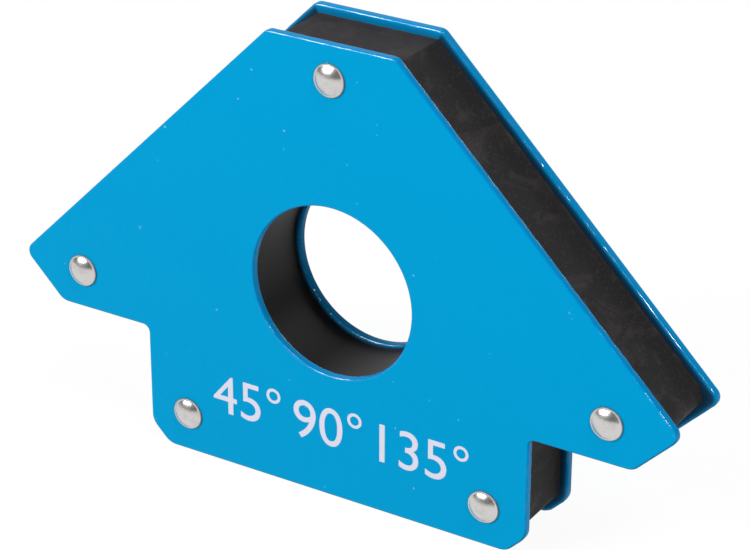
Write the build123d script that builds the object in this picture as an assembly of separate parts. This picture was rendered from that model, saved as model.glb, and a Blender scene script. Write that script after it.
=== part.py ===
"""Arrow-shaped magnetic welding square, in millimetres.

Two pressed steel pole plates are riveted over a moulded core. Ferrite blocks sit in pockets of the
core with their poles against the plates, so the plate edges become the magnetic working edges at 45,
90 and 135 degrees.

Frame: X runs across the wings, Y through the thickness (the front plate faces -Y) and Z up.
The origin is on the middle plane, under the centre of the base edge, so the part stands on Z = 0.
"""

import os

from build123d import *

# Arrow outline, shared by both plates: sharp corners, then their radii
HALF_WIDTH = 60.0        # centre line to the wing tip
HEIGHT = 77.0            # base edge to apex
WING_TIP_Z = 28.25       # height of the wing tip, where the 45 degree side starts
WING_UNDERSIDE_Z = 20.8  # lower edge of the wings
STEM_HALF_WIDTH = 35.1   # centre line to the side of the stem
BASE_CHAMFER = 3.4       # 45 degree cut at both ends of the base
APEX_RADIUS = 1.75
WING_TIP_RADIUS = 1.75
WING_HEEL_RADIUS = 2.5   # between the tip chamfer and the wing's lower edge
NOTCH_RADIUS = 1.2       # inside corner between wing and stem
BASE_RADIUS = 3.0

# Stack through the thickness
THICKNESS = 15.0         # over both plates
PLATE = 1.5
EDGE_BREAK = 0.3         # eased edges on the outer face of each pressing

# Centre hole through the whole stack
HOLE_Z = 36.0
HOLE_RADIUS = 14.4
CORE_HOLE_RADIUS = 15.3

# Moulded core
CORE_RECESS = 1.5        # how far the core stays inside the plate outline
CORE_WALL = 1.5          # between a block's pocket and the outside of the core
POCKET_PLAY = 0.1        # clearance round a block
POCKET_RADIUS = 0.45     # inside corners; smaller than the blocks' own chamfer

# Ferrite blocks, as length along the working edge and width behind it
LONG_BLOCK = (40.0, 15.0)
SHORT_BLOCK = (15.0, 10.0)
BLOCK_CHAMFER = 0.5
FLANK_BLOCK_SHIFT = 2.0  # from the middle of the 45 degree side towards the apex
STEM_BLOCK_Z = 19.9

# Semi-tubular rivets: places, factory head, shank and clinched tail
RIVETS = {
    "rivet_apex": (0.0, 71.3),
    "rivet_wing_left": (-48.0, 27.5),
    "rivet_wing_right": (48.0, 27.5),
    "rivet_base_left": (-27.7, 6.8),
    "rivet_base_right": (27.7, 6.8),
}
SHANK_RADIUS = 1.6
HEAD_RADIUS = 2.72
HEAD_HEIGHT = 1.15
HEAD_RIM = 0.3           # height of the thin flange round the dome
HEAD_FLANGE = 0.3        # how far the flange stands out from the dome
CLINCH_RADIUS = 2.5
CLINCH_HEIGHT = 1.15
CLINCH_BEVEL = 0.5       # how far the roll turns in at its top
TAIL_HOLE_RADIUS = 0.95
TAIL_HOLE_DEPTH = 4.6    # from the rear plate's outer face
TAIL_MOUTH_RADIUS = 1.35  # where the roll turns into the hollow

# Worked out from the above
GAP = THICKNESS - 2 * PLATE
SHOULDER_SUM = HALF_WIDTH + WING_TIP_Z  # x + z is constant along the 45 degree side
APEX_HALF_WIDTH = SHOULDER_SUM - HEIGHT
TIP_CHAMFER = WING_TIP_Z - WING_UNDERSIDE_Z
ROOT2 = 2**0.5


def arrow_corners():
    """Return the right-hand corners as (x, z, radius), from the base up to the apex."""
    return [
        (STEM_HALF_WIDTH - BASE_CHAMFER, 0.0, BASE_RADIUS),
        (STEM_HALF_WIDTH, BASE_CHAMFER, BASE_RADIUS),
        (STEM_HALF_WIDTH, WING_UNDERSIDE_Z, NOTCH_RADIUS),
        (HALF_WIDTH - TIP_CHAMFER, WING_UNDERSIDE_Z, WING_HEEL_RADIUS),
        (HALF_WIDTH, WING_TIP_Z, WING_TIP_RADIUS),
        (APEX_HALF_WIDTH, HEIGHT, APEX_RADIUS),
    ]


def arrow_sketch():
    """Return the plate outline as a flat sketch whose own Y axis stands for the part's Z."""
    right = arrow_corners()
    points = [(x, z) for x, z, _ in right] + [(-x, z) for x, z, _ in reversed(right)]
    sketch = make_face(Polyline(*points, close=True))
    for x, z, radius in right:
        for side in (x, -x):
            corner = sketch.vertices().sort_by_distance((side, z, 0))[0]
            sketch = fillet(corner, radius)
    return sketch


def upright(sketch, y_front, y_rear):
    """Stand a flat sketch up in the XZ plane and extrude it from y_front back to y_rear."""
    return extrude(Plane.XZ.offset(-y_rear) * sketch, amount=y_rear - y_front)


def rivet_holes():
    """Return the five shank holes as a flat sketch."""
    return Sketch() + [Pos(x, z) * Circle(SHANK_RADIUS) for x, z in RIVETS.values()]


def pole_plate(side):
    """Return a pressed plate: side -1 is the front one, +1 the rear one."""
    outer_y = side * THICKNESS / 2
    inner_y = side * GAP / 2
    blank = arrow_sketch() - Pos(0, HOLE_Z) * Circle(HOLE_RADIUS) - rivet_holes()
    plate = upright(blank, min(outer_y, inner_y), max(outer_y, inner_y))
    rims = [
        edge
        for edge in plate.edges().filter_by_position(Axis.Y, outer_y, outer_y)
        if not (edge.geom_type == GeomType.CIRCLE and edge.radius == SHANK_RADIUS)
    ]
    return chamfer(rims, EDGE_BREAK)


def block_places():
    """Return each ferrite block's name, (length, width), centre (x, z) and turn in degrees."""
    core_edge = CORE_RECESS + CORE_WALL + POCKET_PLAY
    depth = SHOULDER_SUM / ROOT2 - core_edge - LONG_BLOCK[1] / 2
    along = (APEX_HALF_WIDTH - HEIGHT + HALF_WIDTH - WING_TIP_Z) / 2 / ROOT2 - FLANK_BLOCK_SHIFT
    flank_x = (depth + along) / ROOT2
    flank_z = (depth - along) / ROOT2
    stem_x = STEM_HALF_WIDTH - core_edge - SHORT_BLOCK[1] / 2
    base_z = core_edge + LONG_BLOCK[1] / 2
    return [
        ("magnet_flank_left", LONG_BLOCK, (-flank_x, flank_z), 45),
        ("magnet_flank_right", LONG_BLOCK, (flank_x, flank_z), -45),
        ("magnet_base", LONG_BLOCK, (0.0, base_z), 0),
        ("magnet_stem_left", SHORT_BLOCK, (-stem_x, STEM_BLOCK_Z), 90),
        ("magnet_stem_right", SHORT_BLOCK, (stem_x, STEM_BLOCK_Z), 90),
    ]


def ferrite_block(size, centre, turn):
    """Return a sintered block that fills the gap; its four corner edges are ground off."""
    sketch = Rectangle(*size)
    sketch = chamfer(sketch.vertices(), BLOCK_CHAMFER)
    return upright(Pos(*centre) * Rot(0, 0, turn) * sketch, -GAP / 2, GAP / 2)


def pocket(size, centre, turn):
    """Return a block's pocket as a flat sketch."""
    length, width = (extent + 2 * POCKET_PLAY for extent in size)
    return Pos(*centre) * Rot(0, 0, turn) * RectangleRounded(length, width, POCKET_RADIUS)


def moulded_core():
    """Return the spacer: recessed outline, centre hole, rivet holes and the blocks' pockets."""
    sketch = offset(arrow_sketch(), amount=-CORE_RECESS)
    sketch -= Pos(0, HOLE_Z) * Circle(CORE_HOLE_RADIUS)
    sketch -= rivet_holes()
    for _, size, centre, turn in block_places():
        sketch -= pocket(size, centre, turn)
    return upright(sketch, -GAP / 2, GAP / 2)


def rivet_profile():
    """Return half the section of a set rivet as (radius, height) from the front plate's outer face."""
    dome_edge = HEAD_RADIUS - HEAD_FLANGE
    rise = HEAD_HEIGHT - HEAD_RIM
    dome_radius = (dome_edge**2 + rise**2) / (2 * rise)
    dome = RadiusArc((0, HEAD_HEIGHT), (dome_edge, HEAD_RIM), dome_radius)
    tail = -THICKNESS
    rest = Polyline(
        (dome_edge, HEAD_RIM),
        (HEAD_RADIUS, HEAD_RIM / 2),
        (HEAD_RADIUS, 0),
        (SHANK_RADIUS, 0),
        (SHANK_RADIUS, tail),
        (CLINCH_RADIUS, tail),
        (CLINCH_RADIUS, tail - CLINCH_HEIGHT / 2),
        (CLINCH_RADIUS - CLINCH_BEVEL, tail - CLINCH_HEIGHT),
        (TAIL_MOUTH_RADIUS, tail - CLINCH_HEIGHT),
        (TAIL_HOLE_RADIUS, tail - CLINCH_HEIGHT / 3),
        (TAIL_HOLE_RADIUS, tail + TAIL_HOLE_DEPTH),
        (0, tail + TAIL_HOLE_DEPTH),
        (0, HEAD_HEIGHT),
    )
    return make_face(dome + rest)


def rivet(x, z):
    """Return one set rivet with its dome in front and its clinched hollow tail behind."""
    turned = revolve(rivet_profile(), Axis.Y)
    return Pos(x, -THICKNESS / 2, z) * Rot(0, 0, 180) * turned


def sub_parts():
    """Return every sub-part under its node name."""
    pieces = {
        "plate_front": pole_plate(-1),
        "plate_rear": pole_plate(1),
        "core": moulded_core(),
    }
    for name, size, centre, turn in block_places():
        pieces[name] = ferrite_block(size, centre, turn)
    for name, place in RIVETS.items():
        pieces[name] = rivet(*place)
    return pieces


if __name__ == "__main__":
    os.makedirs("parts", exist_ok=True)
    for name, shape in sub_parts().items():
        export_step(shape, f"parts/{name}.step")
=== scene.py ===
"""Looks of the arrow-shaped welding magnet holder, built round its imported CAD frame."""

import math

import bpy
import numpy as np
from mathutils import Matrix, Vector


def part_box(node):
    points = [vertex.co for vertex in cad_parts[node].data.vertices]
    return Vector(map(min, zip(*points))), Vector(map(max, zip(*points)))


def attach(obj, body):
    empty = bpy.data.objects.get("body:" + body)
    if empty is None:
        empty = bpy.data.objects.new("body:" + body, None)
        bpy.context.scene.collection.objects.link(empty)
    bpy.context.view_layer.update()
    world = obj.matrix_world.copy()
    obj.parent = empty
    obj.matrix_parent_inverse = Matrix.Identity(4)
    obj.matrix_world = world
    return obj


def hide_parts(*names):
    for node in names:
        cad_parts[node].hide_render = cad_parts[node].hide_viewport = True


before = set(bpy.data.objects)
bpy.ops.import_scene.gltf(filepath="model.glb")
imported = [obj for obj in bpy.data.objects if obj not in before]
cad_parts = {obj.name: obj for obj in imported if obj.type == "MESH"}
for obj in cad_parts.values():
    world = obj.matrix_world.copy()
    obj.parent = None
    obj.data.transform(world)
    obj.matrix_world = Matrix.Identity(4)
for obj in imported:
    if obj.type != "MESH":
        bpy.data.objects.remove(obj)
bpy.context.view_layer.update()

bl_info = {
    "name": "Welding Magnet Holder",
    "version": (1, 0, 0),
    "blender": (4, 5, 0),
    "location": "3D View > Sidebar > Magnet Holder",
    "description": "Builds the painted plates, core, rivets and print of a welding magnet holder",
    "category": "Add Mesh",
}

MM = 0.001
BODY = "root"
FRONT_LOW, FRONT_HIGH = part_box("plate_front")
REAR_LOW, REAR_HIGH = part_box("plate_rear")
CORE_LOW, CORE_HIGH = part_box("core")
RIVETS = sorted(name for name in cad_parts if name.startswith("rivet_"))
MAGNETS = sorted(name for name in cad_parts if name.startswith("magnet_"))

# Rows over a plate edge's section: each rolled arc and the straight side between the two
ARC_ROWS, SIDE_ROWS = 8, 2
# Clear coat's share on those rows, from the outer face round to the inner one
SECTION_GLOSS = np.array([0, 0.7, 1, 1, 1, 0.7, 0.4, 0.1, 0, 0, 0.1, 0.4, 0.8, 1, 1, 1, 0.7, 0])
# Rows across a plate's outer face, as shares of the way from the hole to the rim
FACE_SHARES = np.array([0.004, 0.03, 0.2, 0.4, 0.6, 0.8, 0.97, 0.996])
# Rows across a plate's inner face: distances from its edge, then shares of the way to the hole
LEDGE = np.array([0.37, 0.45, 0.55, 0.65, 0.8, 1.0, 1.2, 1.45, 1.7]) * MM
MIDDLE_SHARES = np.array([0.25, 0.5, 0.75])
# Rows across each of the core's flat faces, as shares of the way from one edge to the other
CORE_FACE_SHARES = np.array([0.02, 0.5, 0.98])
# Rows from one plate to the other on the core's wall, and its rounder corners at the wing tips
CORE_WALL_ROWS = 31
CORE_TIP_RADIUS = 4.0 * MM
# Direction in the hole, as (x, z), where a painted sheen lightens the core
SHEEN_TOWARD = (0.64, -0.77)

# Rivet radii and heights
HEAD_RADIUS, DOME_STEP, HEAD_RIM, RIM_ROUND = 2.72 * MM, 0.26 * MM, 0.3 * MM, 0.15 * MM
# The head's rim is dull, and darkened by painted shade where it meets the plate, beyond this radius and
# up to this far behind the front plate's face
DULL_RADIUS, DULL_DEPTH = 2.6 * MM, 0.1 * MM
SHANK_RADIUS, ROLL_RADIUS, HOLLOW_RADIUS = 1.6 * MM, 2.5 * MM, 0.95 * MM
# The hollow's last points as (share of its radius, depth from the rear plate's outer face)
HOLLOW_END = ((1.0, 4.2 * MM), (0.8, 4.6 * MM), (0.0, 4.7 * MM))

PRINT_THICKNESS, PRINT_SIZE, PRINT_HEIGHT = 0.03 * MM, 9.8 * MM, 12.0 * MM
MARKS = (("mark_45", "45°", -15.8 * MM), ("mark_90", "90°", -0.6 * MM), ("mark_135", "135°", 16.2 * MM))

FLOOR_HALF = 4.0
LIT_MIDDLE = (0.0, 0.0, 0.04)
# Softboxes: name, place, target, size, power and the direction of the first side
SOFTBOXES = (
    ("key", (-0.415, -0.62, 0.517), LIT_MIDDLE, (0.5, 0.25), 8.0, (1.0, 0.0, 0.0)),
    ("overhead", (0.30, -0.13, 0.82), LIT_MIDDLE, (0.4, 0.3), 3.0, (1.0, 0.0, 0.0)),
    ("fill", (0.282, -0.17, 0.238), (0.07, 0.0, 0.018), (0.022, 0.10), 0.4, (1.0, 0.0, -1.0)),
    ("rear_fill", (0.1, 0.9, 0.26), LIT_MIDDLE, (0.4, 0.2), 2.0, (1.0, 0.0, 0.0)),
    ("backdrop", (-0.50, 0.75, 0.32), LIT_MIDDLE, (1.2, 0.6), 1.7, (1.0, 0.0, 0.0)),
)
CAMERA_PLACE = (199.2 * MM, -317.5 * MM, 221.7 * MM)
CAMERA_TURN = (31.665, 26.346, 0.15)  # azimuth, elevation and roll in degrees
CAMERA_SENSOR, CAMERA_LENS = 36.0, 128.95


def length(name, description, default):
    """Return a length property."""
    return bpy.props.FloatProperty(name=name, description=description, default=default, unit="LENGTH")


def colour(name, description, default):
    """Return a colour property."""
    return bpy.props.FloatVectorProperty(
        name=name, description=description, default=default, size=3, subtype="COLOR", min=0.0, max=1.0
    )


class OutlineSizes(bpy.types.PropertyGroup):
    """Arrow outline of both plates."""

    height: length("Height", "Base edge to apex", FRONT_HIGH.z)
    half_width: length("Half width", "Centre line to the sharp wing tip", 60.0 * MM)
    wing_tip: length("Wing tip height", "Base edge to the wing tip", 28.25 * MM)
    wing_underside: length("Wing underside", "Base edge to the wing's lower edge", 20.8 * MM)
    stem: length("Stem half width", "Centre line to the side of the stem", 35.1 * MM)
    base_chamfer: length("Base chamfer", "Cut at both ends of the base", 3.4 * MM)
    apex_radius: length("Apex radius", "Corner radius at the apex", 1.75 * MM)
    tip_radius: length("Tip radius", "Corner radius at the wing tip", 1.75 * MM)
    heel_radius: length("Heel radius", "Corner radius between tip cut and wing underside", 2.5 * MM)
    notch_radius: length("Notch radius", "Inside corner radius between wing and stem", 1.2 * MM)
    base_radius: length("Base radius", "Corner radii at the ends of the base", 3.0 * MM)
    hole_height: length("Hole height", "Base edge to the centre of the hole", 36.0 * MM)
    hole_radius: length("Hole radius", "Radius of the hole through the plates", 14.4 * MM)


class FinishSizes(bpy.types.PropertyGroup):
    """Edges, recesses and colours."""

    edge_roll: length("Edge roll", "Radius of the outer pressed edge", 0.3 * MM)
    burr_roll: length("Burr roll", "Radius of the paint over the inner edge", 0.35 * MM)
    core_recess: length("Core recess", "Core's step back from the plate outline", 1.5 * MM)
    core_hole_radius: length("Core hole radius", "Radius of the hole through the core", 15.3 * MM)
    paint: colour("Paint", "Powder coat", (0.0, 0.241, 0.466))
    print_colour: colour("Print", "Printed marks", (0.52, 0.52, 0.61))
    core: colour("Core", "Moulded core", (0.0157, 0.0144, 0.0153))
    rivet: colour("Rivets", "Plated rivets", (0.62, 0.605, 0.59))


# ---------------------------------------------------------------------------------------------
# Shader expressions


class Value:
    """A shader socket in Python arithmetic: each operator adds one Math node."""

    def __init__(self, finish, socket):
        self.finish = finish
        self.socket = socket

    def maths(self, operation, *others):
        return self.finish.node("ShaderNodeMath", {"operation": operation}, dict(enumerate(others)))

    def __add__(self, other):
        return self.maths("ADD", self, other)

    def __radd__(self, other):
        return self.maths("ADD", other, self)

    def __sub__(self, other):
        return self.maths("SUBTRACT", self, other)

    def __rsub__(self, other):
        return self.maths("SUBTRACT", other, self)

    def __mul__(self, other):
        return self.maths("MULTIPLY", self, other)

    def __rmul__(self, other):
        return self.maths("MULTIPLY", other, self)

    def __pow__(self, other):
        return self.maths("POWER", self, other)

    def band(self, low, high):
        """Return 0 below low, 1 above high and a smooth step between them."""
        return self.finish.node(
            "ShaderNodeMapRange",
            {"interpolation_type": "SMOOTHSTEP"},
            {"Value": self, "From Min": low, "From Max": high},
        )


class Finish:
    """One procedural material round a Principled shader."""

    def __init__(self, name):
        self.material = bpy.data.materials.new(name)
        self.material.use_nodes = True
        self.tree = self.material.node_tree
        self.shader = next(n for n in self.tree.nodes if n.type == "BSDF_PRINCIPLED")
        self.place = self.node("ShaderNodeTexCoord", output="Object")

    def feed(self, socket, value):
        """Link a Value to a socket, or set a plain number or colour on it."""
        if isinstance(value, Value):
            self.tree.links.new(value.socket, socket)
        elif hasattr(value, "__len__") and len(value) == 3 and socket.type == "RGBA":
            socket.default_value = (*value, 1.0)
        else:
            socket.default_value = value

    def node(self, kind, settings=None, inputs=None, output=0):
        """Add a node: its settings first (a ramp's stops as pairs), then its sockets."""
        made = self.tree.nodes.new(kind)
        for key, value in (settings or {}).items():
            if key == "stops":
                elements = made.color_ramp.elements
                while len(elements) < len(value):
                    elements.new(1.0)
                for element, (position, shade) in zip(elements, value):
                    element.position = position
                    element.color = (*shade, 1.0)
            else:
                setattr(made, key, value)
        for key, value in (inputs or {}).items():
            self.feed(made.inputs[key], value)
        return Value(self, made.outputs[output])

    def noise(self, per_metre, detail=2.0, roughness=0.5, distortion=0.0, place=None):
        """Return fractal noise in object space, with per_metre cells to the metre."""
        sockets = {
            "Vector": place or self.place,
            "Scale": per_metre,
            "Detail": detail,
            "Roughness": roughness,
            "Distortion": distortion,
        }
        return self.node("ShaderNodeTexNoise", {}, sockets)

    def mix(self, share, first, second):
        """Return the first colour turning into the second by share."""
        return self.node(
            "ShaderNodeMix", {"data_type": "RGBA"}, {0: share, 6: first, 7: second}, output=2
        )

    def attribute(self, name):
        """Return a value stored on the mesh."""
        return self.node("ShaderNodeAttribute", {"attribute_name": name}, output="Fac")

    def bump(self, height, distance, strength=1.0, normal=None):
        """Return a normal raised by height times distance."""
        sockets = {"Height": height, "Distance": distance, "Strength": strength}
        if normal:
            sockets["Normal"] = normal
        return self.node("ShaderNodeBump", {}, sockets)

    def surface(self, **sockets):
        """Set the Principled shader's sockets, with _ for a space in their names."""
        for key, value in sockets.items():
            self.feed(self.shader.inputs[key.replace("_", " ")], value)
        return self.material


def powder_coat(finishes):
    """Sky-blue powder coat: orange peel, a few nibs and a deeper tone where it wraps the edges.

    The clear coat lies only where the mesh's gloss says, and painted shade darkens the paint to navy
    where the mesh says: in the gap beside the core, on sides that face down and in the holes.
    """
    finish = Finish("powder_coat_blue")
    base = Vector(finishes.paint)
    cloud = finish.noise(28.0, 2.0, 0.5)
    face = finish.mix(cloud, tuple(base * 0.99), tuple(base * 1.01))
    edge = finish.attribute("edge")
    deep = (0.0, base.y * 0.85, base.z * 1.02)
    tone = finish.mix(edge * 0.8, face, deep)
    # Painted shade: navy darkening in the gap beside the core, under the edges and in the holes
    tone = finish.mix(finish.attribute("seam"), tone, (0.007, base.y * 0.085, base.z * 0.09))
    nibs = finish.noise(1150.0, 0.0, 0.5).band(0.87, 0.9) * 0.25
    tone = finish.mix(nibs, tone, (0.35, 0.62, 0.85))
    peel = finish.noise(750.0, 2.0, 0.45) + finish.noise(2600.0, 1.0, 0.5) * 0.15
    lumps = finish.noise(230.0, 1.0, 0.5)
    bump = finish.bump(peel, 0.010 * MM)
    bump = finish.bump(lumps, 0.03 * MM, normal=bump)
    return finish.surface(
        Base_Color=tone,
        Roughness=0.24 + 0.08 * finish.noise(400.0, 2.0),
        Specular_IOR_Level=0.05,
        Specular_Tint=(0.0, 0.6, 1.0),
        Coat_Weight=finish.attribute("gloss"),
        Coat_Roughness=0.14,
        Coat_IOR=1.85,
        Normal=bump,
    )


def moulded_black(finishes):
    """Black moulded core: dusty mottling and scuffs outside, smooth and darkened by painted shade in the
    hole.

    The mesh says what is outside, where a painted sheen lightens the core and where the moulding's flash
    is.
    """
    finish = Finish("core_black")
    base = Vector(finishes.core)
    stretched = finish.node(
        "ShaderNodeMapping", {}, {"Vector": finish.place, "Scale": (1.0, 0.55, 1.0)}
    )
    outside = finish.attribute("outside")
    cloud = finish.noise(190.0, 6.0, 0.66, 0.6, stretched)
    dust = cloud.band(0.47, 0.62) * outside
    grain = finish.noise(2100.0, 3.0, 0.6)
    # Painted shade: the hole's wall and the hidden faces are a fifth as bright as the outside
    tone_with_painted_hole_shade = finish.mix(outside, tuple(base * 0.2), tuple(base))
    # Painted light and sheen: lighter grey on the core's top faces and on the lower right of its hole
    tone = finish.mix(finish.attribute("settled") * 0.75, tone_with_painted_hole_shade, (0.046, 0.041, 0.043))
    tone = finish.mix(dust * 0.62, tone, (base.x * 2.3, base.y * 2.1, base.z * 1.95))
    tone = finish.mix(grain.band(0.52, 0.75) * outside * 0.45, tone, (0.060, 0.052, 0.050))
    flash = finish.attribute("flash")
    browned = flash * finish.noise(500.0, 3.0).band(0.3, 0.7) * 0.6
    tone = finish.mix(browned, tone, (0.050, 0.030, 0.020))
    scuff_place = finish.node(
        "ShaderNodeMapping",
        {},
        {"Vector": finish.place, "Scale": (1.0, 3.5, 1.0), "Rotation": (0, 0.5, 0)},
    )
    scuffs = finish.noise(330.0, 6.0, 0.7, 1.2, scuff_place).band(0.60, 0.72) * outside
    tone = finish.mix(scuffs * 0.35, tone, (0.085, 0.078, 0.076))
    rough = 0.42 + 0.25 * outside + 0.1 * grain - 0.08 * dust
    bump = finish.bump(grain, 0.02 * MM, 0.7)
    bump = finish.bump(cloud * outside, 0.16 * MM, 0.8, bump)
    return finish.surface(Base_Color=tone, Roughness=rough, Specular_IOR_Level=0.17, Normal=bump)


def plated_rivet(finishes):
    """Polished plated steel with faint dents and handling haze, duller round the head's rim, with painted
    contact shade.
    """
    finish = Finish("rivet_plated")
    base = Vector(finishes.rivet)
    haze = finish.noise(700.0, 4.0, 0.6)
    tone = finish.mix(haze.band(0.45, 0.75), tuple(base), tuple(base * 0.86))
    specks = finish.noise(2600.0, 2.0, 0.6).band(0.66, 0.74)
    tone = finish.mix(specks * 0.5, tone, tuple(base * 0.45))
    dents = finish.noise(520.0, 2.0, 0.5)
    rim = finish.attribute("rim")
    # Painted shade: the head's rim is darkened where it meets the plate
    tone = finish.mix(rim * 0.75, tone, tuple(base * 0.3))
    bump = finish.bump(dents, 0.05 * MM, 0.6)
    bump = finish.bump(finish.noise(1900.0, 3.0, 0.65), 0.022 * MM, 0.7, bump)
    return finish.surface(
        Base_Color=tone, Metallic=1.0, Roughness=0.2 + 0.14 * haze + 0.3 * rim, Normal=bump
    )


def sintered_ferrite():
    """Dark grey ground ferrite."""
    finish = Finish("ferrite_grey")
    grain = finish.noise(1800.0, 4.0, 0.6)
    tone = finish.mix(grain, (0.035, 0.035, 0.038), (0.07, 0.07, 0.074))
    return finish.surface(Base_Color=tone, Roughness=0.62, Normal=finish.bump(grain, 0.02 * MM))


def screen_print(finishes):
    """Pale screen-printed ink, a little thin in places."""
    finish = Finish("print_pale")
    base = Vector(finishes.print_colour)
    thin = finish.noise(1500.0, 3.0, 0.6).band(0.62, 0.8)
    tone = finish.mix(thin * 0.25, tuple(base), tuple(base * 0.85))
    return finish.surface(
        Base_Color=tone,
        Roughness=0.42,
        Specular_IOR_Level=0.3,
        Normal=finish.bump(finish.noise(750.0, 2.0), 0.01 * MM),
    )


# ---------------------------------------------------------------------------------------------
# Surfaces


def arrow_corners(sizes, tip_radius=None):
    """Return all corners of the arrow as (x, z, radius), counterclockwise from the base's right end."""
    tip_cut = sizes.wing_tip - sizes.wing_underside
    apex = sizes.half_width + sizes.wing_tip - sizes.height
    right = [
        (sizes.stem - sizes.base_chamfer, 0.0, sizes.base_radius),
        (sizes.stem, sizes.base_chamfer, sizes.base_radius),
        (sizes.stem, sizes.wing_underside, sizes.notch_radius),
        (sizes.half_width - tip_cut, sizes.wing_underside, sizes.heel_radius),
        (sizes.half_width, sizes.wing_tip, tip_radius or sizes.tip_radius),
        (apex, sizes.height, sizes.apex_radius),
    ]
    return np.array(right + [(-x, z, r) for x, z, r in reversed(right)])


def arrow_path(sizes, step, per_corner=9, tip_radius=None):
    """Return the outline's points, outward normals and distance along it.

    A corner that turns by angle a with radius r takes r tan(a / 2) off both its straights. Its arc
    is centre + r n for an outside corner and centre - r n for an inside one, where n is the outward
    normal, turning evenly from the first straight's to the second's.
    """
    corners = arrow_corners(sizes, tip_radius)
    place, radius = corners[:, :2], corners[:, 2]
    leave = np.roll(place, -1, axis=0) - place
    leave /= np.linalg.norm(leave, axis=1, keepdims=True)
    arrive = np.roll(leave, 1, axis=0)
    turn = np.arctan2(
        arrive[:, 0] * leave[:, 1] - arrive[:, 1] * leave[:, 0], (arrive * leave).sum(axis=1)
    )
    side = np.sign(turn)[:, None]
    first = np.stack([arrive[:, 1], -arrive[:, 0]], axis=1)
    start = place - arrive * (radius * np.tan(np.abs(turn) / 2))[:, None]
    centre = start - side * first * radius[:, None]
    share = np.linspace(0.0, 1.0, per_corner)
    angle = np.arctan2(first[:, 1], first[:, 0])[:, None] + turn[:, None] * share
    normal = np.stack([np.cos(angle), np.sin(angle)], axis=2)
    arc = centre[:, None] + side[:, None] * radius[:, None, None] * normal
    points, normals = [], []
    for index in range(len(corners)):
        following = (index + 1) % len(corners)
        gap = arc[following, 0] - arc[index, -1]
        count = max(2, int(np.linalg.norm(gap) / step))
        along = (np.arange(1, count) / count)[:, None]
        points += [arc[index], arc[index, -1] + along * gap]
        normals += [normal[index], np.repeat(normal[index, -1:], count - 1, axis=0)]
    points, normals = np.vstack(points), np.vstack(normals)
    pieces = np.linalg.norm(np.roll(points, -1, axis=0) - points, axis=1)
    return points, normals, np.concatenate([[0.0], np.cumsum(pieces)[:-1]]), pieces.sum()


def ripple(distance, total, shortest, longest, seed, waves=24):
    """Return a closed random wave along a path, about -1 to 1.

    It is a sum of sines; each fits a whole number of times round the path, so the ends meet.
    """
    random = np.random.default_rng(seed)
    counts = random.integers(int(total / longest), int(total / shortest), waves)
    phases = random.uniform(0, 2 * np.pi, waves)
    waves_at = np.sin(2 * np.pi * distance[:, None] / total * counts + phases)
    return waves_at.sum(axis=1) / math.sqrt(waves)


def quarter(start, end, radius, count):
    """Return (across, up) points on a circle, turning evenly from angle start to end."""
    angle = np.linspace(start, end, count)
    return np.stack([radius * np.cos(angle), radius * np.sin(angle)], axis=1)


def rise(amount, start, span):
    """Return 0 up to start, 1 from start + span on, and an even rise between them."""
    return np.clip((amount - start) / span, 0.0, 1.0)


def rows_from(flat, y):
    """Return rows of (x, y, z) points from rows of (x, z) points and the y that goes with them."""
    rows = np.empty((*flat.shape[:2], 3))
    rows[..., 0], rows[..., 1], rows[..., 2] = flat[..., 0], y, flat[..., 1]
    return rows


def rays_from_hole(sizes, outline):
    """Return the hole's centre and the unit rays from it to each point of the outline."""
    centre = np.array([0.0, sizes.hole_height])
    ray = outline - centre
    return centre, ray / np.linalg.norm(ray, axis=1, keepdims=True)


def closed_grid(name, rows, flip=False):
    """Make a mesh from rows of points, closed both along each row and from the last row to the first."""
    count, across = rows.shape[:2]
    index = np.arange(count * across).reshape(count, across)
    right = np.roll(index, -1, axis=1)
    below = np.roll(index, -1, axis=0)
    corner = np.roll(below, -1, axis=1)
    order = (index, right, corner, below) if flip else (index, below, corner, right)
    faces = np.stack(order, axis=2).reshape(-1, 4)
    return quad_mesh(name, rows.reshape(-1, 3), faces)


def quad_mesh(name, points, faces):
    """Return a smooth mesh of four-sided faces, filled as whole arrays."""
    mesh = bpy.data.meshes.new(name)
    mesh.vertices.add(len(points))
    mesh.vertices.foreach_set("co", points.astype(np.float32).ravel())
    mesh.loops.add(faces.size)
    mesh.loops.foreach_set("vertex_index", faces.astype(np.int32).ravel())
    mesh.polygons.add(len(faces))
    mesh.polygons.foreach_set("loop_start", np.arange(0, faces.size, 4, dtype=np.int32))
    mesh.polygons.foreach_set("use_smooth", np.ones(len(faces), dtype=bool))
    mesh.update(calc_edges=True)
    mesh.validate()
    return mesh


def store(mesh, name, values):
    """Keep one number for each vertex under a name that a finish can read."""
    attribute = mesh.attributes.new(name, "FLOAT", "POINT")
    attribute.data.foreach_set("value", values.astype(np.float32).ravel())


def add_piece(mesh, material, node):
    """Put a finished mesh in the scene as the piece that stands for a CAD node."""
    piece = bpy.data.objects.new(mesh.name, mesh)
    bpy.context.scene.collection.objects.link(piece)
    mesh.materials.append(material)
    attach(piece, BODY)
    if node:
        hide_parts(node)
    return piece


def edge_section(outer_y, inner_y, roll, burr):
    """Return a plate edge's section as (step back, y), from the outer face round to the inner one.

    It is a quarter circle of radius roll, a straight side and a quarter circle of radius burr.
    """
    outward = math.copysign(1.0, outer_y - inner_y)
    outer = quarter(0.5 * np.pi, 0.0, roll, ARC_ROWS)
    inner = quarter(0.0, -0.5 * np.pi, burr, ARC_ROWS)
    side_y = np.linspace(outer_y - outward * roll, inner_y + outward * burr, SIDE_ROWS + 2)[1:-1]
    return np.vstack(
        [
            np.stack([roll - outer[:, 0], outer_y - outward * (roll - outer[:, 1])], axis=1),
            np.stack([np.zeros(SIDE_ROWS), side_y], axis=1),
            np.stack([burr - inner[:, 0], inner_y + outward * (burr + inner[:, 1])], axis=1),
        ]
    )


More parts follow.
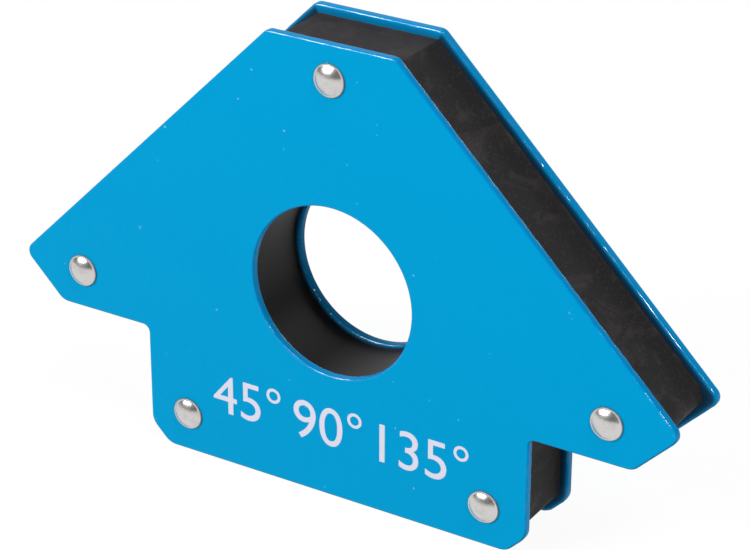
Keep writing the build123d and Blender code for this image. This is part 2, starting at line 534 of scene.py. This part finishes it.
def edge_shine(away, distance, total, seed):
    """Return how much each point of an edge shines, for the directions that the edge faces.

    Sides that face down or straight across shine less. The rest shine in slow patches, which turn
    into short dashes where the edge faces partly or wholly across.
    """
    across = np.abs(away[:, 0])
    upright = rise(across, 0.8, 0.15)
    slow = np.clip(0.75 + 0.5 * ripple(distance, total, 5 * MM, 30 * MM, seed), 0.25, 1.0)
    dashes = np.clip(0.3 + 2.2 * ripple(distance, total, 3 * MM, 9 * MM, seed + 1), 0.05, 1.0)
    broken = rise(across, 0.375, 0.25)
    down = rise(-away[:, 1], 0.0, 0.5)
    return (1.0 - 0.85 * upright) * (1.0 - 0.9 * down) * (slow + (dashes - slow) * broken)


def section_gloss(outline, normal, ray, distance, total, depth, front, seed):
    """Return the clear coat's share over the edge's section, first at the rim and then in the hole.

    The rim's outer half is worn on the upper slopes, and shines less on the left sides and on the
    rear plate.
    """
    slope = rise(np.abs(normal[:, 0] * normal[:, 1]), 0.25, 0.25)
    worn = rise(outline[:, 1], 31 * MM, 4 * MM) * slope * 0.95
    left = rise(-normal[:, 0], 0.0, 0.5) * 0.85
    outer_half = (1.0 - worn) * (1.0 - left) * (1.0 if front else 0.3)
    at_rim = edge_shine(normal, distance, total, seed)
    at_rim = at_rim * np.where((depth < 0.5)[:, None], outer_half, 1.0)
    at_hole = edge_shine(-ray, distance, total, seed)
    return SECTION_GLOSS[:, None] * at_rim, SECTION_GLOSS[:, None] * at_hole


def painted_shade_rows(normal, depth, front):
    """Return the painted shade on each row of a plate's skin, in the order of its rows.

    It stands for shade where little light falls. On the inner face it darkens exponentially with the
    distance from the edge, and less so on the plate's top sides. The side turns dark towards the inner
    face and where it faces down, and the hole's wall is a little dark all over, more so in the rear
    plate.
    """
    section, face, ledge = len(depth), len(FACE_SHARES), len(LEDGE)
    beyond = LEDGE / MM - 0.35
    fade = 0.97 * (1.0 - 0.6 * np.exp(-5.0 * beyond / 1.15))
    hole_fade = 0.9 * (1.0 - np.exp(-5.0 * beyond / 0.6))[::-1]
    outside = np.zeros(section + face + section)
    column = np.concatenate([outside, fade, np.ones(len(MIDDLE_SHARES)), hole_fade])
    shade = np.repeat(column[:, None], len(normal), axis=1)
    top = rise(normal[:, 1], 0.75, 0.25)
    shade[:-ledge] *= 1.0 - top * (1.0 - 0.5 * shade[:-ledge] ** 3)
    turned = (depth > 0)[:, None]
    shade[:section] = (turned * (0.05 if front else 0.35))[::-1]
    rolled = rise(np.arange(section), 9, 8)[:, None] ** 1.5
    under = turned * rise(-normal[:, 1], 0.0, 0.5) * 0.4
    rim = section + face
    shade[rim : rim + section] = np.maximum(under, 0.39 * rolled * (1.0 - top))
    return shade


def plate_surface(name, sizes, finishes, low, high, front, seed):
    """Return a pressed plate as one closed skin with a rolled outer edge and a softer inner one.

    Each row of the skin runs round the whole plate. A row is either the outline, stepped back by
    some distance along its normals, or the hole, stepped out by it, or a blend of the two across a
    flat face. Both have one point for each ray from the hole's centre through an outline point.
    Towards the inner face the edge also steps back by a random wave that is never negative, so the
    skin is uneven there and stays in the plate's box.
    """
    outline, normal, distance, total = arrow_path(sizes, 0.6 * MM)
    centre, ray = rays_from_hole(sizes, outline)
    outer_y, inner_y = (low.y, high.y) if front else (high.y, low.y)
    outward = math.copysign(1.0, outer_y - inner_y)
    uneven = np.clip(ripple(distance, total, 1.6 * MM, 7 * MM, seed), 0.0, 2.0)
    patches = np.clip(ripple(distance, total, 30 * MM, 90 * MM, seed + 1), 0.0, 1.5)
    wobble = uneven * (0.02 + 0.04 * patches) * MM
    steps = edge_section(outer_y, inner_y, finishes.edge_roll, finishes.burr_roll)
    depth = np.abs(steps[:, 1] - outer_y) / abs(outer_y - inner_y)
    burr_share = np.clip((depth - 0.45) / 0.45, 0.0, 1.0)

    def section_rows(base, away, wave):
        """Return the section's rows round a closed line, uneven by the wave towards the inner face."""
        shift = wave[None, :] * burr_share[:, None]
        flat = base[None] + away[None] * (steps[:, 0][:, None, None] + shift[..., None])
        return rows_from(flat, steps[:, 1][:, None] + outward * wave[None, :] * burr_share[:, None] * 0.6)

    rim = section_rows(outline, -normal, wobble)
    hole_wave = np.clip(ripple(distance, total, 1.6 * MM, 7 * MM, seed + 2), 0.0, 2.0) * 0.04 * MM
    inside = section_rows(centre + ray * sizes.hole_radius, ray, hole_wave)[::-1]
    outer_face = inside[-1] + (rim[0] - inside[-1]) * FACE_SHARES[:, None, None]
    back = LEDGE[:, None, None]
    ledge = rows_from(outline - normal * back, inner_y)
    shelf = rows_from(centre + ray * (sizes.hole_radius + back), inner_y)[::-1]
    middle = ledge[-1] + (shelf[0] - ledge[-1]) * MIDDLE_SHARES[:, None, None]
    rows = np.concatenate([inside, outer_face, rim, ledge, middle, shelf])
    rows = np.clip(rows, low, high)
    mesh = closed_grid(name, rows, flip=outward > 0)

    turned, hidden = depth > 0, np.full(len(LEDGE) * 2 + len(MIDDLE_SHARES), 0.7)
    edge = np.concatenate([turned[::-1], np.zeros(len(FACE_SHARES)), turned, hidden])
    store(mesh, "edge", np.repeat(edge[:, None], len(outline), axis=1))
    at_rim, at_hole = section_gloss(outline, normal, ray, distance, total, depth, front, seed + 3)
    gloss = np.zeros(rows.shape[:2])
    gloss[: len(steps)] = at_hole[::-1]
    rim_start = len(steps) + len(FACE_SHARES)
    gloss[rim_start : rim_start + len(steps)] = at_rim
    store(mesh, "gloss", gloss)
    # Painted shade: the gap beside the core, the undersides and the holes are darkened
    store(mesh, "seam", painted_shade_rows(normal, depth, front))
    return mesh


def core_surface(name, sizes, finishes):
    """Return the core as one closed skin: an uneven wall behind the outline and a plain one in the hole.

    The wall steps back by the recess, less a lip that dies away exponentially from each plate. The
    lip's height is a random wave round the outline.
    """
    outline, normal, distance, total = arrow_path(sizes, 0.7 * MM, tip_radius=CORE_TIP_RADIUS)
    centre, ray = rays_from_hole(sizes, outline)
    low, high = CORE_LOW.y, CORE_HIGH.y
    half = (high - low) / 2
    share = np.sin(np.linspace(-0.5, 0.5, CORE_WALL_ROWS) * np.pi)
    y = (low + high) / 2 + share * half
    depth = half - np.abs(share) * half
    front_lip, rear_lip = (
        0.03 + 0.09 * np.abs(ripple(distance, total, 3 * MM, 14 * MM, seed)) for seed in (31, 47)
    )
    lip = np.where(share[:, None] < 0, front_lip[None], rear_lip[None]) * MM
    fade = np.exp(-depth / (0.32 * MM))[:, None]
    swell = ripple(distance, total, 12 * MM, 60 * MM, 5)[None] * 0.05 * MM
    back = finishes.core_recess - lip * fade + swell * (1 - fade)
    wall = rows_from(outline[None] - normal[None] * back[..., None], y[:, None])
    hole_lip = 0.12 * MM * np.abs(ripple(distance, total, 3 * MM, 14 * MM, 61))[None] * fade
    bore_flat = centre + ray[None] * (finishes.core_hole_radius - hole_lip)[..., None]
    bore = rows_from(bore_flat, y[:, None])[::-1]
    shares = CORE_FACE_SHARES[:, None, None]
    rear_face = wall[-1] + (bore[0] - wall[-1]) * shares
    front_face = bore[-1] + (wall[0] - bore[-1]) * shares
    rows = np.concatenate([wall, rear_face, bore, front_face])
    mesh = closed_grid(name, rows)

    face = np.zeros(len(CORE_FACE_SHARES))
    outside = np.concatenate([np.ones(len(y)), face, np.zeros(len(y)), face])
    store(mesh, "outside", np.repeat(outside[:, None], rows.shape[1], axis=1))
    settled = np.zeros(rows.shape[:2])
    # Painted light: the wall's upward faces are lighter
    settled[: len(y)] = rise(normal[:, 1], 0.75, 0.25) * 0.4
    bore_start = len(y) + len(face)
    # Painted sheen on the lower right of the hole
    settled[bore_start : bore_start + len(y)] = np.clip((ray @ SHEEN_TOWARD) * 2.2 - 1.2, 0.0, 1.0)
    store(mesh, "settled", settled)
    flash = np.concatenate([fade[:, 0], face, fade[::-1, 0], face])
    store(mesh, "flash", np.repeat(flash[:, None], rows.shape[1], axis=1))
    return mesh


def lathe(name, profile, centre_x, centre_z, count=72):
    """Return a turned solid: its profile of (radius, y) starts and ends on the axis.

    The point for angle t is (x + r cos t, y, z + r sin t); the two ends are single points. The
    mesh's rim says which points lie round the edge of a rivet's head, where painted shade darkens it.
    """
    angle = np.linspace(0, 2 * np.pi, count, endpoint=False)
    inner = profile[1:-1]
    rings = np.empty((len(inner), count, 3))
    rings[..., 0] = centre_x + inner[:, 0][:, None] * np.cos(angle)
    rings[..., 1] = inner[:, 1][:, None]
    rings[..., 2] = centre_z + inner[:, 0][:, None] * np.sin(angle)
    poles = np.array([[centre_x, profile[0, 1], centre_z], [centre_x, profile[-1, 1], centre_z]])
    points = np.vstack([rings.reshape(-1, 3), poles])
    index = np.arange(len(inner) * count).reshape(len(inner), count)
    turned = np.roll(index, -1, axis=1)
    quads = np.stack([index[:-1], turned[:-1], turned[1:], index[1:]], axis=2).reshape(-1, 4)
    first = np.full(count, len(points) - 2)
    last = np.full(count, len(points) - 1)
    start = np.stack([turned[0], index[0], first], axis=1)
    end = np.stack([index[-1], turned[-1], last], axis=1)
    mesh = bpy.data.meshes.new(name)
    mesh.from_pydata(points.tolist(), [], quads.tolist() + start.tolist() + end.tolist())
    mesh.polygons.foreach_set("use_smooth", np.ones(len(mesh.polygons), dtype=bool))
    mesh.update()
    rim = (inner[:, 0] > DULL_RADIUS) & (inner[:, 1] < FRONT_LOW.y + DULL_DEPTH)
    store(mesh, "rim", np.concatenate([np.repeat(rim, count), [0.0, 0.0]]))
    return mesh


def rivet_profile(front_y, rear_y, tip_front, tip_rear):
    """Return a set rivet's profile as (radius, y), from the dome's top to the bottom of the hollow.

    The dome is a circular arc over a thin rounded flange; the tail is a half-round roll that turns
    into the hollow.
    """
    dome_height = (front_y - tip_front) - HEAD_RIM
    edge = HEAD_RADIUS - DOME_STEP
    dome_radius = (edge**2 + dome_height**2) / (2 * dome_height)
    sweep = np.linspace(0.0, math.asin(edge / dome_radius), 20)
    dome = np.stack(
        [dome_radius * np.sin(sweep), tip_front + dome_radius * (1 - np.cos(sweep))], axis=1
    )
    lip = quarter(0.5 * np.pi, 0.0, RIM_ROUND, 6)
    flange_edge = np.stack(
        [HEAD_RADIUS - RIM_ROUND + lip[:, 0], front_y - HEAD_RIM + RIM_ROUND - lip[:, 1]], axis=1
    )
    seat = np.array(
        [
            [HEAD_RADIUS, front_y],
            [SHANK_RADIUS, front_y],
            [SHANK_RADIUS, rear_y],
            [ROLL_RADIUS, rear_y],
        ]
    )
    height = tip_rear - rear_y
    crest, thick = (ROLL_RADIUS + HOLLOW_RADIUS) / 2, (ROLL_RADIUS - HOLLOW_RADIUS) / 2
    half = np.linspace(0.0, np.pi, 16)
    rolled_y = rear_y + height * 0.35 + height * 0.65 * np.sin(half) ** 0.8
    rolled = np.stack([crest + thick * np.cos(half), rolled_y], axis=1)
    inside = np.array([[HOLLOW_RADIUS * share, rear_y - deep] for share, deep in HOLLOW_END])
    return np.vstack([dome, flange_edge, seat, rolled, inside])


# ---------------------------------------------------------------------------------------------
# Operators


def finished(name, make, *details):
    """Return the named material, made the first time it is asked for."""
    return bpy.data.materials.get(name) or make(*details)


class BuildPlates(bpy.types.Operator):
    """Build the two blue pole plates"""

    bl_idname = "magnet_holder.plates"
    bl_label = "Pole plates"

    def execute(self, context):
        sizes, finishes = context.scene.holder_outline, context.scene.holder_finish
        paint = finished("powder_coat_blue", powder_coat, finishes)
        places = (
            ("front_plate", "plate_front", FRONT_LOW, FRONT_HIGH, True, 11),
            ("rear_plate", "plate_rear", REAR_LOW, REAR_HIGH, False, 23),
        )
        for name, node, low, high, front, seed in places:
            mesh = plate_surface(name, sizes, finishes, low, high, front, seed)
            add_piece(mesh, paint, node)
        return {"FINISHED"}


class BuildCore(bpy.types.Operator):
    """Build the black moulded core and finish the ferrite blocks inside it"""

    bl_idname = "magnet_holder.core"
    bl_label = "Core and ferrite blocks"

    def execute(self, context):
        sizes, finishes = context.scene.holder_outline, context.scene.holder_finish
        black = finished("core_black", moulded_black, finishes)
        add_piece(core_surface("core_moulding", sizes, finishes), black, "core")
        grey = finished("ferrite_grey", sintered_ferrite)
        for name in MAGNETS:
            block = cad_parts[name]
            block.data.materials.clear()
            block.data.materials.append(grey)
        return {"FINISHED"}


class BuildRivets(bpy.types.Operator):
    """Build the five clinched rivets"""

    bl_idname = "magnet_holder.rivets"
    bl_label = "Rivets"

    def execute(self, context):
        plated = finished("rivet_plated", plated_rivet, context.scene.holder_finish)
        for node in RIVETS:
            low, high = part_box(node)
            centre = (low + high) / 2
            profile = rivet_profile(FRONT_LOW.y, REAR_HIGH.y, low.y, high.y)
            mesh = lathe("set_" + node, profile, centre.x, centre.z)
            add_piece(mesh, plated, node)
        return {"FINISHED"}


class BuildPrint(bpy.types.Operator):
    """Print plain angle marks below the hole"""

    bl_idname = "magnet_holder.print"
    bl_label = "Angle marks"

    def execute(self, context):
        ink = finished("print_pale", screen_print, context.scene.holder_finish)
        upright = Matrix.Rotation(math.pi / 2, 4, "X")
        for name, text, x in MARKS:
            curve = bpy.data.curves.new(name, "FONT")
            curve.body = text
            curve.size = PRINT_SIZE
            curve.align_x = "CENTER"
            curve.align_y = "CENTER"
            curve.extrude = PRINT_THICKNESS / 2
            curve.resolution_u = 8
            source = bpy.data.objects.new(name, curve)
            mesh = bpy.data.meshes.new_from_object(source)
            bpy.data.objects.remove(source)
            mesh.name = name
            mesh.transform(Matrix.Translation((x, FRONT_LOW.y, PRINT_HEIGHT)) @ upright)
            mesh.materials.clear()
            add_piece(mesh, ink, None)
        return {"FINISHED"}


def area_light(name, place, target, size, power, along):
    """Add a softbox, unseen by the camera, that looks at a target with one side along a direction."""
    light = bpy.data.lights.new(name, "AREA")
    light.shape = "RECTANGLE"
    light.size, light.size_y = size
    light.energy = power
    box = bpy.data.objects.new(name, light)
    back = (Vector(place) - Vector(target)).normalized()
    side = (Vector(along) - back * back.dot(Vector(along))).normalized()
    turn = Matrix((side, back.cross(side), back)).transposed().to_4x4()
    box.matrix_world = Matrix.Translation(place) @ turn
    box.visible_camera = False
    bpy.context.scene.collection.objects.link(box)


class BuildStage(bpy.types.Operator):
    """Set the pale floor, the softboxes and the camera"""

    bl_idname = "magnet_holder.stage"
    bl_label = "Stage"

    def execute(self, context):
        scene = context.scene
        mesh = bpy.data.meshes.new("floor")
        corners = [(FLOOR_HALF * x, FLOOR_HALF * y, 0) for x, y in ((-1, -1), (1, -1), (1, 1), (-1, 1))]
        mesh.from_pydata(corners, [], [(0, 1, 2, 3)])
        pale = Finish("floor_pale").surface(
            Base_Color=(0.06, 0.06, 0.06),
            Roughness=0.9,
            Specular_IOR_Level=0.0,
            Emission_Color=(1.0, 1.0, 1.0),
            Emission_Strength=0.94,
        )
        mesh.materials.append(pale)
        floor = bpy.data.objects.new("floor", mesh)
        scene.collection.objects.link(floor)
        world = bpy.data.worlds.new("studio")
        scene.world = world
        world.use_nodes = True
        background = next(n for n in world.node_tree.nodes if n.type == "BACKGROUND")
        background.inputs["Color"].default_value = (0.96, 0.97, 1.0, 1.0)
        background.inputs["Strength"].default_value = 0.12
        for softbox in SOFTBOXES:
            area_light(*softbox)
        lens = bpy.data.cameras.new("camera")
        lens.sensor_width = CAMERA_SENSOR
        lens.lens = CAMERA_LENS
        camera = bpy.data.objects.new("camera", lens)
        azimuth, elevation, roll = (math.radians(degrees) for degrees in CAMERA_TURN)
        back = Vector(
            (
                math.sin(azimuth) * math.cos(elevation),
                -math.cos(azimuth) * math.cos(elevation),
                math.sin(elevation),
            )
        )
        turn = (-back).to_track_quat("-Z", "Y").to_matrix().to_4x4()
        camera.matrix_world = (
            Matrix.Translation(CAMERA_PLACE) @ turn @ Matrix.Rotation(roll, 4, "Z")
        )
        scene.collection.objects.link(camera)
        scene.camera = camera
        scene.view_settings.view_transform = "Standard"
        return {"FINISHED"}


class HolderPanel(bpy.types.Panel):
    """Lists the sizes and the build steps"""

    bl_idname = "VIEW3D_PT_magnet_holder"
    bl_label = "Welding Magnet Holder"
    bl_space_type = "VIEW_3D"
    bl_region_type = "UI"
    bl_category = "Magnet Holder"

    def draw(self, context):
        for group in (context.scene.holder_outline, context.scene.holder_finish):
            column = self.layout.column()
            for name in group.__annotations__:
                column.prop(group, name)
        for step in STEPS:
            self.layout.operator(step.bl_idname)


STEPS = (BuildStage, BuildPlates, BuildCore, BuildRivets, BuildPrint)
CLASSES = (OutlineSizes, FinishSizes, *STEPS, HolderPanel)


def register():
    """Add the classes and the scene's settings."""
    for item in CLASSES:
        bpy.utils.register_class(item)
    bpy.types.Scene.holder_outline = bpy.props.PointerProperty(type=OutlineSizes)
    bpy.types.Scene.holder_finish = bpy.props.PointerProperty(type=FinishSizes)


def unregister():
    """Take the scene's settings and the classes away again."""
    del bpy.types.Scene.holder_finish
    del bpy.types.Scene.holder_outline
    for item in reversed(CLASSES):
        bpy.utils.unregister_class(item)


def main():
    """Build every piece and the stage."""
    register()
    for step in STEPS:
        group, name = step.bl_idname.split(".")
        getattr(getattr(bpy.ops, group), name)()


if __name__ == "__main__":
    main()
